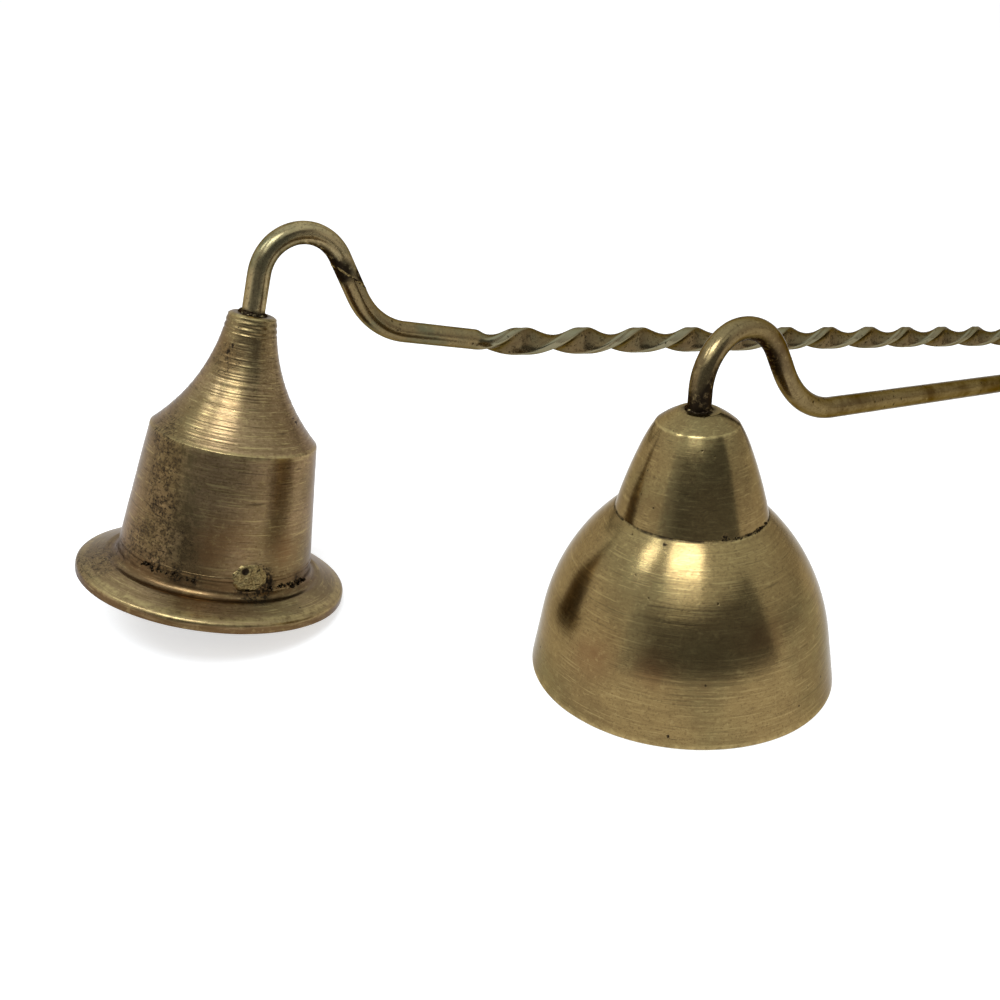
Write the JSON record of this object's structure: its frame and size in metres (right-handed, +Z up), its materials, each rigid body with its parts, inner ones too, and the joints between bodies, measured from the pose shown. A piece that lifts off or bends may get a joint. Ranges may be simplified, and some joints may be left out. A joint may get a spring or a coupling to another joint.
{
  "type": "candle snuffer",
  "caption": "Aged-brass candle snuffers lying side by side: a bell cup on a plain gooseneck wire and a brimmed hat cup on a twisted wire handle, for putting out candle flames.",
  "frame": {"origin": "centre of the bell's mouth, on the table that both snuffers lie on", "axes": "+X along the bell's handle from cup to eye, +Z up from the table, +Y towards the hat snuffer"},
  "size_m": [0.2826, 0.0922, 0.054],
  "materials": {
    "bell_brass": "turned and worn, lightly tarnished",
    "bell_wire_brass": "drawn wire, brown tarnish",
    "hat_brass": "turned rings, brown tarnish and pits",
    "hat_wire_brass": "drawn and twisted wire, greenish tarnish",
    "solder": "rough, dark with grime",
    "braze": "rough, pitted"
  },
  "bodies": {
    "bell_snuffer": {"bell_cup": "bell_brass", "bell_cap": "bell_brass", "bell_handle": "bell_wire_brass", "bell_solder": "solder"},
    "hat_snuffer": {"hat_cup": "hat_brass", "hat_brim": "hat_brass", "brim_braze": "braze", "hat_hook": "hat_wire_brass", "scarf_braze": "braze", "hat_handle": "hat_wire_brass", "hat_solder": "solder"}
  },
  "joints": [
    {"name": "hat_lift", "type": "slide", "parent": "bell_snuffer", "child": "hat_snuffer", "axis": [0, 0, 1], "range_m": [0, 0.15]}
  ]
}
